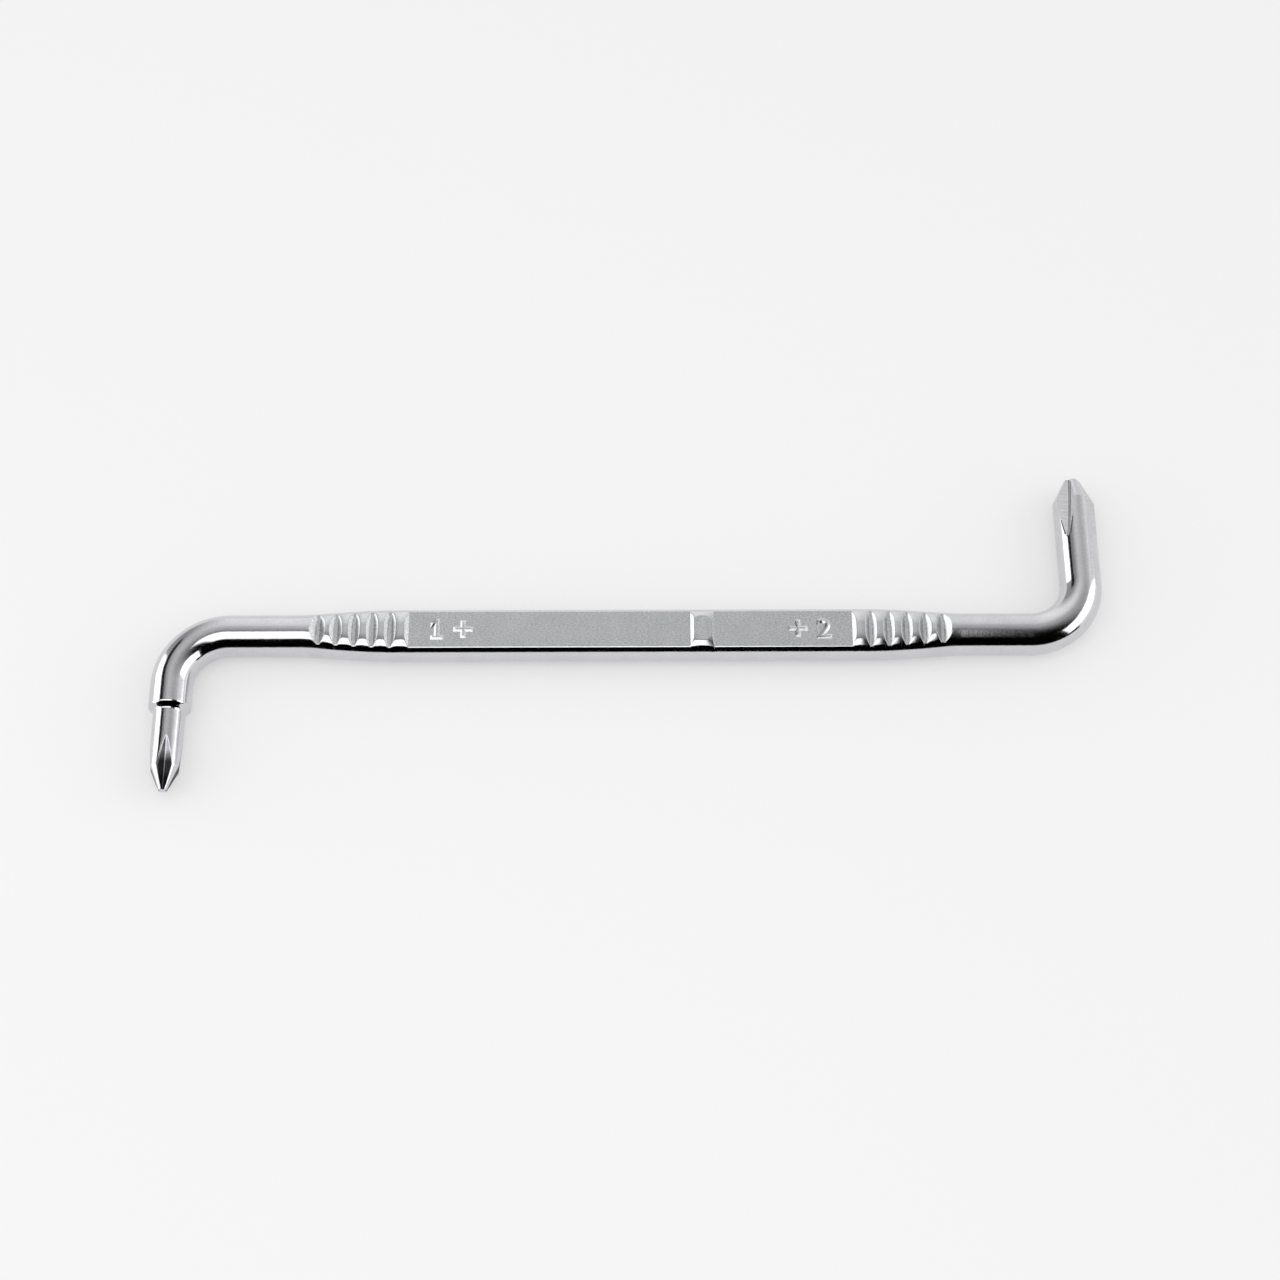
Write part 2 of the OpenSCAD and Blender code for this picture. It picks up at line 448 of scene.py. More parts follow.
@dataclass
class Grip:
    """The swelled middle of the bar, with its pressed panels, flutes and rib."""

    bar: Bar
    width: float = 7.5 * MM
    height: float = 5.3 * MM
    flat_thickness: float = 4.2 * MM
    panel_length: float = 62.5 * MM
    wall_slope: float = math.tan(math.radians(40))
    full_width_at: float = 33 * MM
    full_height_at: float = 41 * MM
    bar_height_at: float = 45.3 * MM
    swell_bias: float = 0.75
    flute_count: int = 5
    flute_first: float = 33.9 * MM
    flute_pitch: float = 2.53 * MM
    flute_floor: float = 0.4 * MM
    rib_at: float = 10.1 * MM
    rib_width: float = 3.4 * MM
    rib_height: float = 0.4 * MM
    rib_long_run: float = 0.6 * MM
    rib_steep_run: float = 0.25 * MM
    crest_round: float = 4.5 * MM
    rib_round: float = 6 * MM
    crown_power: int = 3
    edge_blend: float = 0.03 * MM
    corner_rounds: int = 6
    wall_step: float = 0.025 * MM
    wall_margin_steps: int = 3
    least_step_share: float = 0.25
    land_step: float = 0.12 * MM
    coarse_step: float = 1.0 * MM
    top_shares: Sequence[float] = (0.0, 0.25, 0.5, 0.7, 0.82, 0.9, 0.95, 0.98, 1.0)
    side_points: int = 24
    least_crown: float = math.radians(8)

    def half_width(self, x: float) -> float:
        """Gives half the width of the section at x, before pressing."""
        share = self._gone(x, self.bar.grip_end_x, self.full_width_at) ** self.swell_bias
        return self.bar.radius + (self.width / 2 - self.bar.radius) * ease(share)

    def half_height(self, x: float) -> float:
        """Gives half the height of the section at x, before pressing.

        Args:
            x: The place along the bar.

        Returns:
            The height, a little less where the crests and the rib are domed along the bar.
        """
        share = self._gone(x, self.bar_height_at, self.full_height_at)
        swelled = self.bar.radius + (self.height / 2 - self.bar.radius) * ease(share)
        off_rib = abs(x - self.rib_at)
        if off_rib < self.rib_width / 2:
            return swelled - off_rib**2 / (2 * self.rib_round)
        return swelled - self._off_crest(abs(x)) ** 2 / (2 * self.crest_round)

    def _floors(self) -> list[tuple[float, float]]:
        """Lists the floors of the panel and the flutes of one end, from the middle outwards.

        Returns:
            The start and the end of each floor.
        """
        half = self.flute_floor / 2
        middles = [self.flute_first + i * self.flute_pitch for i in range(self.flute_count)]
        return [(0.0, self.panel_length / 2)] + [(m - half, m + half) for m in middles]

    def _off_crest(self, x: float) -> float:
        """Gives how far x is from the middle of its crest.

        Args:
            x: The distance from the middle of the bar.

        Returns:
            The distance, which is 0 where there is no crest between two pressed floors.
        """
        floors = self._floors()
        for (_, low), (high, _) in zip(floors, floors[1:]):
            if low < x < high:
                return abs(x - (low + high) / 2)
        return 0.0

    @staticmethod
    def _gone(x: float, none_at: float, full_at: float) -> float:
        """Gives the share of a change that is done at x, between two distances from the middle."""
        return min(max((none_at - abs(x)) / (none_at - full_at), 0.0), 1.0)

    def pressed_height(self, x: float, face: Face) -> float:
        """Gives the height over the centreline that the press leaves at x.

        Args:
            x: The place along the bar.
            face: The side of the grip. Only the upper one has the rib.

        Returns:
            The height, which is over the section where nothing is pressed.
        """
        floor = self.flat_thickness / 2
        panel = self._pocket(abs(x) - self.panel_length / 2)
        if face is Face.UPPER:
            rise = (x - self.rib_at + self.rib_width / 2) * self.rib_height / self.rib_long_run
            fall = (self.rib_at + self.rib_width / 2 - x) * self.rib_height / self.rib_steep_run
            rib = soft_min(soft_min(rise, fall, self.edge_blend), self.rib_height, self.edge_blend)
            panel = soft_max(panel, floor + rib, self.edge_blend)
        flutes = [
            self._pocket(abs(abs(x) - self.flute_first - i * self.flute_pitch) - self.flute_floor / 2)
            for i in range(self.flute_count)
        ]
        return min(panel, *flutes)

    def _pocket(self, past_floor: float) -> float:
        """Gives the height of a pressed pocket at a distance past the edge of its floor."""
        floor = self.flat_thickness / 2
        return soft_max(floor, floor + past_floor * self.wall_slope, self.edge_blend)

    def _walls(self) -> list[tuple[float, float]]:
        """Lists the stretches of X in which a pressed wall or a face of the rib may lie.

        Returns:
            The start and the end of each stretch.
        """
        floor, margin = self.flat_thickness / 2, self.wall_margin_steps * self.wall_step
        walls = []
        for low, high in self._floors():
            for edge, away in ((low, -1), (high, 1)):
                reach = (self.half_height(edge) - floor) / self.wall_slope + margin
                near, far = sorted((edge - away * margin, edge + away * reach))
                if edge > 0.0:
                    walls += [(near, far), (-far, -near)]
        left, right = self.rib_at - self.rib_width / 2, self.rib_at + self.rib_width / 2
        walls.append((left - margin, left + self.rib_long_run + margin))
        walls.append((right - self.rib_steep_run - margin, right + margin))
        return walls

    def _stations(self) -> list[float]:
        """Lists the places of the rings, close together where a wall or the rib is.

        Returns:
            The places along the bar, from the size 1 end to the size 2 end.
        """
        end, walls = self.bar.grip_end_x, self._walls()
        edges = [sign * edge for floor in self._floors() for edge in floor for sign in (-1, 1)]
        stops = sorted([low for low, _ in walls] + [high for _, high in walls] + edges + [end])
        places = [-end]
        while places[-1] < end:
            x = places[-1] + self.wall_step * self.least_step_share
            if any(low < x < high for low, high in walls):
                step = self.wall_step
            else:
                pressed = abs(x) > self.panel_length / 2 or abs(x - self.rib_at) < self.rib_width / 2
                step = self.land_step if pressed else self.coarse_step
            places.append(min([places[-1] + step] + [s for s in stops if s > x]))
        return places

    def _columns(self) -> list[tuple[GripZone, int, float]]:
        """Lists the points of a ring.

        Returns:
            Each point's zone, which of the two it is, as 1 or -1, and its share of the zone.
        """
        sides = [(i + 1) / (self.side_points + 1) for i in range(self.side_points)]
        across = [-s for s in reversed(self.top_shares[1:])] + list(self.top_shares)
        right = [(GripZone.SIDE, 1, 1 - s) for s in sides]
        left = [(GripZone.SIDE, -1, s) for s in sides]
        top = [(GripZone.FACE, 1, -s) for s in across]
        bottom = [(GripZone.FACE, -1, s) for s in across]
        return right + top + left + bottom

    def _flattened(self, x: float, share: float) -> float:
        """Gives the height of the flattened bar where the round bar's is a share of its radius."""
        loss = 1 - self.half_height(x) / self.bar.radius
        return self.bar.radius * share * (1 - loss * abs(share) ** self.crown_power)

    def _corner(self, x: float, pressed: float) -> float:
        """Gives the angle round the section's side at which the press has met it.

        Args:
            x: The place along the bar.
            pressed: The height that the press leaves there.

        Returns:
            The angle up from the middle of the side.
        """
        most = math.cos(self.least_crown)
        share = pressed / self.bar.radius
        for _ in range(self.corner_rounds):
            share = min(share * pressed / self._flattened(x, share), most)
        return math.asin(share)

    def _point(self, x: float, column: tuple[GripZone, int, float]) -> Vector:
        """Gives a point of the skin.

        Args:
            x: The place of its ring along the bar.
            column: Its zone of the ring, which of the two that is, and its share of the zone.

        Returns:
            The point.
        """
        zone, sign, share = column
        side = self.bar.radius
        centre = self.half_width(x) - side
        corners = {face: self._corner(x, self.pressed_height(x, face)) for face in Face}
        if zone is GripZone.SIDE:
            angle = share * -corners[Face.LOWER] + (1 - share) * corners[Face.UPPER]
            y = sign * (centre + side * math.cos(angle))
            bare = self._flattened(x, math.sin(angle))
            face = Face.UPPER if bare > 0 else Face.LOWER
        else:
            face = Face(sign)
            y = share * (centre + side * math.cos(corners[face]))
            past = max(abs(y) - centre, 0.0) / side
            bare = self._flattened(x, face.value * math.sqrt(max(1 - past * past, 0.0)))
        height = soft_min(abs(bare), self.pressed_height(x, face), self.edge_blend)
        return self.bar.on_bar(x, y, math.copysign(height, bare))

    def mesh(self) -> BMesh:
        """Models the grip as one closed skin, whose pressed faces have material 1."""
        return closed_skin(self._stations(), self._columns(), self._point, self._is_pressed)

    def _is_pressed(self, point: Vector) -> bool:
        """Tells whether the press has touched the surface at a point.

        Args:
            point: The point.

        Returns:
            Whether it has.
        """
        x = point.x
        y, z = abs(point.y - self.bar.axis_y), point.z - self.bar.axis_z
        side = self.bar.radius
        past = min(max(y - self.half_width(x) + side, 0.0) / side, 1.0)
        bare = self._flattened(x, math.sqrt(1 - past * past))
        face = Face.UPPER if z > 0 else Face.LOWER
        pressed = self.pressed_height(x, face)
        return pressed < bare and abs(z) > pressed - self.edge_blend

    def build(self, bright: Material, satin: Material) -> Object:
        """Makes the grip and puts it in place of its node.

        Args:
            bright: The finish of its sides.
            satin: The finish of what the press has touched.

        Returns:
            The grip.
        """
        piece = as_piece("grip_skin", self.mesh(), (bright, satin))
        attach(piece, BODY)
        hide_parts("grip")
        return piece


@dataclass
class Shank:
    """The round bar at one end, with its bend and, at the size 1 end, its shoulder."""

    bar: Bar
    end: End
    node: str
    straight_to: float
    shoulder_length: float = 0.0
    small_radius: float = 0.0
    edge_round: float = 0.2 * MM
    ring_points: int = 96
    bend_steps: int = 64
    edge_shares: Sequence[float] = (-2.0, -1.2, -0.9, -0.6, -0.3, 0.0, 0.3, 0.6, 0.9, 1.2)
    crease: float = math.radians(35)

    def mesh(self) -> BMesh:
        """Extrudes a disc along the size 2 end, bends and shapes it, and turns it to its own end.

        Returns:
            The shank's closed skin.
        """
        bar = self.bar
        bend_x = bar.blade_x - bar.bend_radius
        bm = bmesh.new()
        disc = bmesh.ops.create_circle(bm, cap_ends=True, segments=self.ring_points, radius=bar.radius)
        stand = Matrix.Rotation(math.pi / 2, 3, "Y")
        bmesh.ops.rotate(bm, verts=disc["verts"], cent=Vector(), matrix=stand)
        bmesh.ops.translate(bm, verts=disc["verts"], vec=Vector((bar.grip_end_x, 0, 0)))
        front = self._extrude(bm, list(bm.faces), Vector((bend_x - bar.grip_end_x, 0, 0)))
        edges, verts = [e for f in front for e in f.edges], [v for f in front for v in f.verts]
        centre, upright = Vector((bend_x, bar.bend_radius, 0)), Vector((0, 0, 1))
        swept = spun(bm, front + edges + verts, centre, upright, math.pi / 2, self.bend_steps)
        front = [part for part in swept if isinstance(part, BMFace)]
        reached, centred = bar.bend_radius, Matrix.Translation((-bar.blade_x, 0, 0))
        for distance, radius in self._profile():
            front = self._extrude(bm, front, Vector((0, distance - reached, 0)))
            rim = {v for f in front for v in f.verts}
            share = radius / max((v.co.xz - Vector((bar.blade_x, 0))).length for v in rim)
            bmesh.ops.scale(bm, verts=list(rim), vec=(share, 1, share), space=centred)
            reached = distance
        to_its_end = Matrix.Rotation(math.pi if self.end is End.SIZE_1 else 0.0, 3, "Z")
        bmesh.ops.rotate(bm, verts=bm.verts, cent=Vector(), matrix=to_its_end)
        bmesh.ops.translate(bm, verts=bm.verts, vec=bar.on_bar(0, 0, 0))
        bmesh.ops.recalc_face_normals(bm, faces=bm.faces)
        return bm

    def _profile(self) -> list[tuple[float, float]]:
        """Lists the rings past the bend.

        Returns:
            Each ring's distance from the bar's centreline and its radius.
        """
        big = self.bar.radius
        if self.shoulder_length == 0.0:
            return [(self.straight_to, big)]
        small, soft = self.small_radius, self.edge_round
        cone = self.shoulder_length - soft
        drop = soft * (big - small) / cone
        tops = [(share * soft, soft_min(big, big - share * drop, drop)) for share in self.edge_shares]
        foots = [
            (cone + share * soft, soft_max(small, small - share * drop, drop))
            for share in self.edge_shares[1:-1]
        ]
        rings = tops + foots + [(self.shoulder_length, small)]
        return [(self.straight_to + past, radius) for past, radius in rings]

    @staticmethod
    def _extrude(bm: BMesh, front: list[BMFace], by: Vector) -> list[BMFace]:
        """Moves the front faces on and leaves a wall behind them.

        Args:
            bm: The mesh.
            front: The faces at the front.
            by: How far they go.

        Returns:
            The faces that are at the front now.
        """
        made = bmesh.ops.extrude_face_region(bm, geom=front)["geom"]
        verts = [part for part in made if isinstance(part, BMVert)]
        bmesh.ops.translate(bm, verts=verts, vec=by)
        return [part for part in made if isinstance(part, BMFace)]

    def build(self, bright: Material) -> Object:
        """Makes the shank and puts it in place of its node.

        Args:
            bright: Its finish.

        Returns:
            The shank.
        """
        piece = as_piece(self.node + "_skin", self.mesh(), (bright,), self.crease)
        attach(piece, BODY)
        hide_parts(self.node)
        return piece


@dataclass
class CrossBlade:
    """A straight round blade with a cross tip, whose four flutes a milling wheel has left."""

    bar: Bar
    end: End
    node: str
    radius: float
    start: float
    reach: float
    end_radius: float
    core_radius: float
    flute_length: float
    turn: float
    cone_angle: float = math.radians(26.5)
    crown_height: float = 0.12 * MM
    flute_half_angle: float = math.radians(46)
    root_width: float = 0.3 * MM
    root_lean: float = math.radians(7)
    edge_blend: float = 0.04 * MM
    row_step: float = 0.1 * MM
    row_overrun: float = 1.08
    crown_shares: Sequence[float] = (0.97, 0.9, 0.75, 0.5, 0.25, 0.0)
    least_edge: float = math.radians(5)
    most_edge: float = math.radians(42)
    least_lean: float = 0.001
    root_points: int = 2
    flank_points: int = 9
    wing_points: int = 6

    def body_radius(self, distance: float) -> float:
        """Gives the radius of the blade or its cone, with no flutes, at a distance from the bar."""
        cone = self.end_radius + (self._cone_top() - distance) * math.tan(self.cone_angle)
        return soft_min(self.radius, cone, self.edge_blend)

    def _cone_top(self) -> float:
        """Gives the distance at which the cone ends and the blunt end's crown starts."""
        return self.reach - self.crown_height

    def root_radius(self, distance: float) -> float:
        """Gives the radius of a flute's root, which the milling wheel's rim sets.

        Args:
            distance: The distance from the bar's centreline.

        Returns:
            The radius, which is the blade's own at the flute's far end and more past it.
        """
        depth = self.radius - self.core_radius
        lean = math.atan2(depth, self.flute_length)
        wheel = math.hypot(self.flute_length, depth) / (2 * math.sin(lean - self.root_lean))
        past_lowest = self.reach - distance + wheel * math.sin(self.root_lean)
        middle = self.core_radius + wheel * math.cos(self.root_lean)
        return middle - math.sqrt(max(wheel * wheel - past_lowest * past_lowest, 0.0))

    def _flute_edge(self, distance: float) -> float:
        """Gives the angle from a flute's middle to its edge on the blade's surface.

        Args:
            distance: The distance from the bar's centreline.

        Returns:
            The angle about the blade's centreline.
        """
        body = self.body_radius(distance)
        slope = 1 / math.tan(self.flute_half_angle)
        level = self.root_radius(distance) - self.root_width / 2 * slope
        reach = min(level / body * math.sin(self.flute_half_angle), 1.0)
        edge = math.acos(reach) - (math.pi / 2 - self.flute_half_angle)
        return min(max(edge, self.least_edge), self.most_edge)

    def _surface(self, distance: float, angle: float) -> float:
        """Gives the radius of the finished surface.

        Args:
            distance: The distance from the bar's centreline.
            angle: The angle from a flute's middle.

        Returns:
            The radius.
        """
        slope = 1 / math.tan(self.flute_half_angle)
        root = self.root_radius(distance)
        lean = math.cos(angle) - abs(math.sin(angle)) * slope
        flank = (root - self.root_width / 2 * slope) / max(lean, self.least_lean)
        floor = root / math.cos(angle)
        flute = soft_max(flank, floor, self.edge_blend)
        return soft_min(self.body_radius(distance), flute, self.edge_blend)

    def _columns(self) -> list[tuple[int, BladeZone, float]]:
        """Lists the points of a ring.

        Returns:
            The quarter, the zone and the signed share of the zone of each point.
        """
        half = [(BladeZone.ROOT, (i + 1) / self.root_points) for i in range(self.root_points)]
        half += [(BladeZone.FLANK, ease((i + 1) / self.flank_points)) for i in range(self.flank_points)]
        half += [(BladeZone.WING, (i + 1) / self.wing_points) for i in range(self.wing_points)]
        mirrored = [(zone, -share) for zone, share in reversed(half[:-1])]
        quarter = mirrored + [(BladeZone.ROOT, 0.0)] + half
        return [(q, zone, share) for q in range(4) for zone, share in quarter]

    def _angle(self, distance: float, zone: BladeZone, share: float) -> float:
        """Gives the angle from a flute's middle for a share of one of its zones.

        Args:
            distance: The distance from the bar's centreline.
            zone: The zone.
            share: The share, which is negative on the other side of the flute.

        Returns:
            The angle, with the share's sign.
        """
        edge = self._flute_edge(distance)
        root = min(math.atan2(self.root_width / 2, self.root_radius(distance)), edge / 2)
        size = abs(share)
        if zone is BladeZone.ROOT:
            angle = root * size
        elif zone is BladeZone.WING:
            angle = edge + (math.pi / 4 - edge) * size
        else:
            inner = self._across(distance, root)
            outer = self._across(distance, edge)
            lateral = inner[0] + (outer[0] - inner[0]) * size
            height = inner[1] + (outer[1] - inner[1]) * size
            angle = math.atan2(lateral, height)
        return math.copysign(angle, share)

    def _across(self, distance: float, angle: float) -> tuple[float, float]:
        """Gives the place of a surface point across and up from a flute's middle."""
        radius = self._surface(distance, angle)
        return radius * math.sin(angle), radius * math.cos(angle)

    def _rows(self) -> list[tuple[float, float]]:
        """Lists the rings.

        Returns:
            Each ring's distance from the bar's centreline and its share of the outline there.
        """
        top = self._cone_top()
        fluted = self.reach - self.row_overrun * self.flute_length
        count = math.ceil((top - fluted) / self.row_step)
        fluting = [(fluted + (top - fluted) * i / count, 1.0) for i in range(count + 1)]
        crown = [(top + self.crown_height * (1 - share * share), share) for share in self.crown_shares]
        return [(self.start, 1.0)] + fluting + crown

    def _point(self, row: tuple[float, float], column: tuple[int, BladeZone, float]) -> Vector:
        """Gives a point of the skin.

        Args:
            row: Its ring's distance from the bar's centreline and share of the outline there.
            column: Its quarter and zone of the ring and its signed share of the zone.

        Returns:
            The point.
        """
        (distance, share), (quarter, zone, part) = row, column
        at = min(distance, self._cone_top())
        angle = self._angle(at, zone, part)
        radius = share * self._surface(at, angle)
        turned = self.turn + quarter * math.pi / 2 + angle
        upright = Vector((radius * math.cos(turned), radius * math.sin(turned), distance))
        lying = Matrix.Rotation(-self.end.value * math.pi / 2, 3, "X") @ upright
        return self.bar.on_bar(self.end.value * self.bar.blade_x + lying.x, lying.y, lying.z)

    def mesh(self) -> BMesh:
        """Models the blade as one closed skin, whose milled faces have material 1."""
        return closed_skin(self._rows(), self._columns(), self._point, self._is_milled)

    def _is_milled(self, point: Vector) -> bool:
        """Tells whether the milling wheel has cut the surface at a point.

        Args:
            point: The point.

        Returns:
            Whether it has.
        """
        across = Vector((point.x - self.end.value * self.bar.blade_x, point.z - self.bar.axis_z)).length
        distance = self.end.value * (point.y - self.bar.axis_y)
        return distance < self._cone_top() and across < self.body_radius(distance) - self.edge_blend

    def build(self, bright: Material, milled: Material) -> Object:
        """Makes the blade and puts it in place of its node.

        Args:
            bright: The finish of its round surface.
            milled: The finish of its flutes.

        Returns:
            The blade.
        """
        piece = as_piece(self.node + "_skin", self.mesh(), (bright, milled))
        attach(piece, BODY)
        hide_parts(self.node)
        return piece


PLAIN_FIGURES = {
    "1": (
        *((0.04, 0.0), (0.04, 0.11), (0.21, 0.11), (0.21, 0.8), (0.04, 0.68), (0.04, 0.84)),
        *((0.25, 1.0), (0.36, 1.0), (0.36, 0.11), (0.53, 0.11), (0.53, 0.0)),
    )
}


@dataclass
class SizeMark:
    """A plain size figure and a plain cross, raised on the upper panel near one end."""

    bar: Bar
    grip: Grip
    end: End
    figure: str
    figure_at: float = 27.3 * MM
    cross_at: float = 23.6 * MM
    height: float = 2.9 * MM
    cross_size: float = 2.4 * MM
    flank_width: float = 0.3 * MM
    flank_slope: float = math.tan(math.radians(28))
    stroke_trim: float = 0.1 * MM
    curve_steps: int = 6
    weld: float = 0.001 * MM
    crease: float = math.radians(15)

    def _curve(self, sign: str) -> bpy.types.Curve:
        """Writes a sign, or draws it where it has an outline of its own.

        Args:
            sign: The sign.

        Returns:
            The text or the closed flat curve.
        """
        outline = PLAIN_FIGURES.get(sign)
        if outline is None:
            curve = bpy.data.curves.new("sign", "FONT")
            curve.body = sign
            curve.resolution_u = self.curve_steps
            return curve
        curve = bpy.data.curves.new("sign", "CURVE")
        curve.dimensions, curve.fill_mode = "2D", "BOTH"
        line = curve.splines.new("POLY")
        line.points.add(len(outline) - 1)
        for point, (across, up) in zip(line.points, outline):
            point.co = (across, up, 0.0, 1.0)
        line.use_cyclic_u = True
        return curve

    def _raised(self, sign: str, tall: float, x: float) -> bpy.types.Mesh:
        """Models one sign and lays it on the panel.

        Args:
            sign: The sign.
            tall: Its height along Y.
            x: The place of its middle along the bar.

        Returns:
            The sign's mesh, in its place.
        """
        curve = self._curve(sign)
        writing = linked("sign", curve)
        bpy.context.view_layer.update()
        share = tall / writing.dimensions.y
        curve.bevel_depth = self.flank_width / share
        curve.bevel_resolution = 0
        curve.offset = -self.stroke_trim / share
        solid = writing.evaluated_get(bpy.context.evaluated_depsgraph_get())
        mesh = bpy.data.meshes.new_from_object(solid)
        middle = (Vector(solid.bound_box[0]) + Vector(solid.bound_box[6])) / 2
        level = self.grip.flat_thickness / 2
        sizes = (share, share, share * self.flank_slope, 1.0)
        mesh.transform(Matrix.Diagonal(sizes) @ Matrix.Translation(-middle))
        mesh.transform(Matrix.Translation(self.bar.on_bar(self.end.value * x, 0.0, level)))
        bpy.data.objects.remove(writing)
        bpy.data.curves.remove(curve)
        return mesh

    def build(self, satin: Material) -> Object:
        """Makes the figure and the cross and puts them on the grip.

        Args:
            satin: Their finish.

        Returns:
            The mark.
        """
        bm = bmesh.new()
        signs = ((self.figure, self.height, self.figure_at), ("+", self.cross_size, self.cross_at))
        for sign, tall, x in signs:
            mesh = self._raised(sign, tall, x)
            bm.from_mesh(mesh)
            bpy.data.meshes.remove(mesh)
        bmesh.ops.remove_doubles(bm, verts=bm.verts, dist=self.weld)
        bmesh.ops.recalc_face_normals(bm, faces=bm.faces)
        piece = as_piece("size_mark_" + self.figure, bm, (satin,), self.crease)
        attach(piece, BODY)
        return piece


@dataclass(frozen=True)
class Lamp:
    """A soft box, which the chrome sees as a card and whose light hangs set_back times as far away."""

    name: str
    centre: tuple[float, float, float]
    size: tuple[float, float]
    facing: tuple[float, float, float]
    radiance: float
    seen_as: float = 1.9
    fade: tuple[float, float] | None = None
    set_back: float = 1.0

    def build(self) -> None:
        """Hangs the lamp in the studio, facing the way that it shines."""
        face = self.name + "_face"
        Card(face, self.centre, self.size, self.facing, self.seen_as, self.fade).build()
        data = bpy.data.lights.new(self.name, "AREA")
        data.shape = "RECTANGLE"
        data.size, data.size_y = (side * self.set_back for side in self.size)
        data.energy = self.radiance * math.pi * data.size * data.size_y
        lamp = linked(self.name, data)
        lamp.location = Vector(self.centre) * self.set_back
        lamp.rotation_euler = Vector(self.facing).to_track_quat("-Z", "Y").to_euler()
        lamp.visible_camera = lamp.visible_glossy = False


def glow_material(name: str) -> tuple[Material, Graph, Node]:
    """Makes a material that only glows, and evenly for the light that the chrome throws on the table.

    Args:
        name: The material's name.

    Returns:
        The material, its nodes and the one whose glow the chrome shows.
    """
    material = bpy.data.materials.new(name)
    material.cycles.emission_sampling = "NONE"
    graph = Graph.of(material)
    nodes = graph.tree.nodes
    nodes.remove(nodes["Principled BSDF"])
    glow = nodes.new("ShaderNodeEmission")
    even = graph.add("Emission", {}, "Emission")
    bounced = graph.add("LightPath", {}, "Diffuse Depth")
    graph.show(graph.add("MixShader", {"Fac": bounced, 1: glow.outputs["Emission"], 2: even}, "Shader"))
    return material, graph, glow


def hang_in_studio(name: str, bm: BMesh, material: Material) -> None:
    """Hangs a surface in the studio that only glossy surfaces see.

    Args:
        name: The surface's name.
        bm: Its mesh, which is freed.
        material: What it glows with.
    """
    surface = as_object(name, bm, (material,))
    surface.visible_camera = surface.visible_diffuse = surface.visible_shadow = False


@dataclass(frozen=True)
class Card:
    """A flat card in the chrome's reflections, whose light may fade between two places along X."""

    name: str
    centre: tuple[float, float, float]
    size: tuple[float, float]
    facing: tuple[float, float, float]
    radiance: float
    fade: tuple[float, float] | None = None

    def build(self) -> None:
        """Stands the card in the studio."""
        bm = bmesh.new()
        bmesh.ops.create_grid(bm, x_segments=1, y_segments=1, size=0.5)
        bmesh.ops.scale(bm, verts=bm.verts, vec=(*self.size, 1.0))
        turn = Vector(self.facing).to_track_quat("Z", "Y").to_matrix()
        bmesh.ops.rotate(bm, verts=bm.verts, cent=Vector(), matrix=turn)
        bmesh.ops.translate(bm, verts=bm.verts, vec=self.centre)
        material, graph, glow = glow_material(self.name)
        strength = self.radiance
        if self.fade is not None:
            strength = graph.ranged(graph.along("X"), self.fade, (self.radiance, 0.0), "SMOOTHSTEP")
        graph.fill(glow, {"Strength": strength})
        hang_in_studio(self.name, bm, material)


@dataclass(frozen=True)
class Canopy:
    """A long half tube over the table, dark in front and pale behind, that the chrome reflects."""

    radius: float = 2.9
    length: float = 14.0
    steps: int = 64
    to_the_back: Shades = (
        *((-1.0, 0.0), (-0.4, 0.0), (-0.2, 0.06), (-0.05, 0.22), (0.05, 0.34), (0.15, 0.5)),
        *((0.3, 0.7), (0.44, 0.8), (0.6, 1.1), (0.8, 1.25), (1.0, 1.3)),
    )
    to_the_right: Shades = (
        *((-1.0, 0.3), (-0.21, 0.3), (-0.157, 0.5), (-0.06, 0.84), (0.0, 0.84), (0.1, 0.68)),
        *((0.16, 0.62), (0.3, 0.68), (0.41, 0.85), (0.56, 0.65), (1.0, 0.65)),
    )

    @staticmethod
    def _shade(graph: Graph, axis: str, reach: float, shades: Shades) -> Socket:
        """Gives the brightness along an axis, from shades at places that are shares of its reach."""
        share = graph.ranged(graph.along(axis), (-reach, reach))
        return graph.ramp(share, [((at + 1) / 2, (light, light, light)) for at, light in shades])

    def build(self) -> None:
        """Spins the half tube and shades it from front to back and from left to right."""
        bm = bmesh.new()
        ends = [bm.verts.new((side * self.length / 2, self.radius, 0.0)) for side in (-1, 1)]
        edge = bm.edges.new(ends)
        spun(bm, ends + [edge], Vector(), Vector((1, 0, 0)), math.pi, self.steps)
        material, graph, glow = glow_material("canopy")
        back = self._shade(graph, "Y", self.radius, self.to_the_back)
        right = self._shade(graph, "X", self.length / 2, self.to_the_right)
        graph.fill(glow, {"Color": back, "Strength": right})
        hang_in_studio("canopy", bm, material)


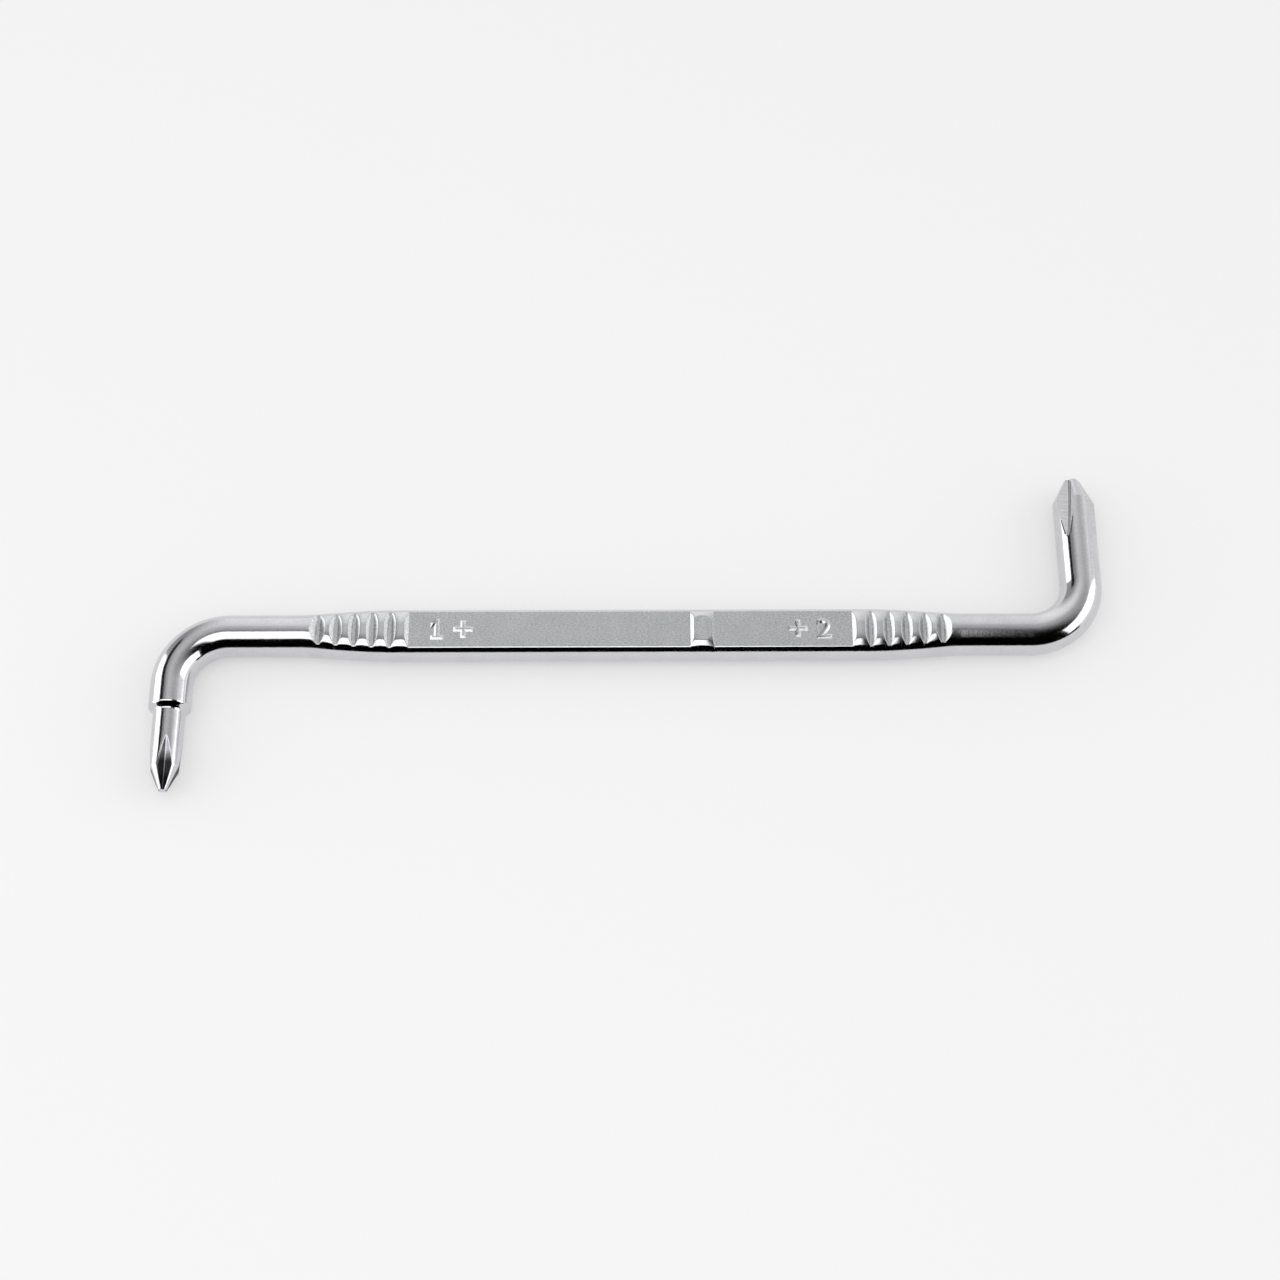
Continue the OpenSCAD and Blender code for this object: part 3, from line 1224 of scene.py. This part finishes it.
@dataclass
class Studio:
    """The pale table, the soft lamps, the cards and the camera of the photograph."""

    elevation: float = math.radians(63.0)
    lens_pixels: float = 2587.6
    frame_pixels: float = 1280
    camera_at: Vector = field(default_factory=lambda: Vector((0.855, -167.65, 329.49)) * MM)
    camera_yaw: float = -0.0029
    sensor_width: float = 36.0
    clip_start: float = 0.01
    clip_end: float = 50.0
    table_size: float = 6.0
    table_colour: tuple[float, float, float, float] = (0.87, 0.87, 0.87, 1.0)
    table_roughness: float = 0.4
    ambient: float = 0.8
    glow_near: float = 0.3
    glow_from: float = 0.5
    glow_full: float = 1.0
    lamps: Sequence[Lamp] = (
        Lamp("right_softbox", (2.0, -0.21, 1.2), (2.48, 1.6), (-1, 0, 0), radiance=0.8),
        Lamp("left_softbox", (-0.45, 0.015, 0.163), (0.69, 0.326), (1, 0, 0), radiance=0.5, set_back=2.5),
        Lamp(
            "overhead_softbox",
            (-0.195, -0.19, 0.46),
            (0.65, 0.37),
            (0, 0, -1),
            radiance=0.6,
            seen_as=1.8,
            fade=(0.04, 0.13),
        ),
    )
    cards: Sequence[Card] = (
        Card("left_strip", (-0.45, 0.35, 0.473), (0.5, 0.294), (1, 0, 0), radiance=0.02),
    )
    canopy: Canopy = Canopy()

    def camera(self) -> None:
        """Puts the camera where the photograph was taken from."""
        data = bpy.data.cameras.new("camera")
        data.sensor_width = self.sensor_width
        data.lens = self.lens_pixels / self.frame_pixels * data.sensor_width
        data.clip_start, data.clip_end = self.clip_start, self.clip_end
        camera = linked("camera", data)
        camera.location = self.camera_at
        camera.rotation_euler = (math.pi / 2 - self.elevation, 0.0, self.camera_yaw)
        bpy.context.scene.camera = camera

    def table(self) -> None:
        """Lays the pale table, which far away from the tool turns into the background's white."""
        bm = bmesh.new()
        bmesh.ops.create_grid(bm, x_segments=1, y_segments=1, size=self.table_size / 2)
        material = bpy.data.materials.new("table_white")
        material.cycles.emission_sampling = "NONE"
        graph = Graph.of(material)
        paint = graph.tree.nodes["Principled BSDF"]
        matt = {"Roughness": self.table_roughness, "Specular IOR Level": 0.0}
        graph.fill(paint, {"Base Color": self.table_colour, **matt})
        away = graph.add("VectorMath", {0: graph.place()}, "Value", operation="LENGTH")
        far = graph.ranged(away, (self.glow_from, self.glow_full), (self.glow_near, 1.0), "SMOOTHSTEP")
        share = graph.add("Math", {0: far, 1: graph.seen_directly()}, "Value", operation="MULTIPLY")
        glow = graph.add("Emission", {}, "Emission")
        graph.show(graph.add("MixShader", {"Fac": share, 1: paint.outputs["BSDF"], 2: glow}, "Shader"))
        as_object("table", bm, (material,))

    def world(self) -> None:
        """Surrounds the studio with white, and lights it softly from all round."""
        world = bpy.data.worlds.new("world")
        bpy.context.scene.world = world
        graph = Graph.of(world)
        strength = graph.ranged(graph.seen_directly(), (0.0, 1.0), (self.ambient, 1.0))
        white = {"Color": (1.0, 1.0, 1.0, 1.0), "Strength": strength}
        graph.fill(graph.tree.nodes["Background"], white)

    def build(self) -> None:
        """Sets up the studio and the colour handling."""
        self.camera()
        self.table()
        self.world()
        for part in (*self.lamps, *self.cards, self.canopy):
            part.build()
        bpy.context.scene.view_settings.view_transform = "Standard"


def main() -> None:
    """Builds the tool's pieces in order and reports each one."""
    logging.basicConfig(level=logging.INFO, format="%(name)s: %(message)s")
    bar = Bar.from_frame()
    bright, satin = BRIGHT_CHROME.build(), SATIN_CHROME.build()
    # The size 1 flutes' finish carries painted shade towards the tip.
    milled, tip_shaded = MILLED_CHROME.build(), SHADED_TIP_CHROME.build()
    grip = Grip(bar)
    shoulder_at, shoulder_length = 11.4 * MM, 0.9 * MM
    size_1_radius = 2.25 * MM
    size_2_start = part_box("size2_shank")[1].y - bar.axis_y
    made = [
        grip.build(bright, satin),
        SizeMark(bar, grip, End.SIZE_1, "1").build(satin),
        SizeMark(bar, grip, End.SIZE_2, "2").build(satin),
        Shank(bar, End.SIZE_1, "size1_shank", shoulder_at, shoulder_length, size_1_radius).build(bright),
        CrossBlade(
            bar,
            End.SIZE_1,
            "size1_blade",
            radius=size_1_radius,
            start=shoulder_at + shoulder_length,
            reach=23.9 * MM,
            end_radius=0.635 * MM,
            core_radius=0.38 * MM,
            flute_length=7.7 * MM,
            turn=math.radians(-8),
            root_width=0.15 * MM,
        ).build(bright, tip_shaded),
        Shank(bar, End.SIZE_2, "size2_shank", size_2_start).build(bright),
        CrossBlade(
            bar,
            End.SIZE_2,
            "size2_blade",
            radius=bar.radius,
            start=size_2_start,
            reach=25.05 * MM,
            end_radius=1.145 * MM,
            core_radius=0.85 * MM,
            flute_length=10.35 * MM,
            turn=math.radians(57),
        ).build(bright, milled),
    ]
    for piece in made:
        log.info("%s: %d faces", piece.name, len(piece.data.polygons))
    Studio().build()


if __name__ == "__main__":
    main()
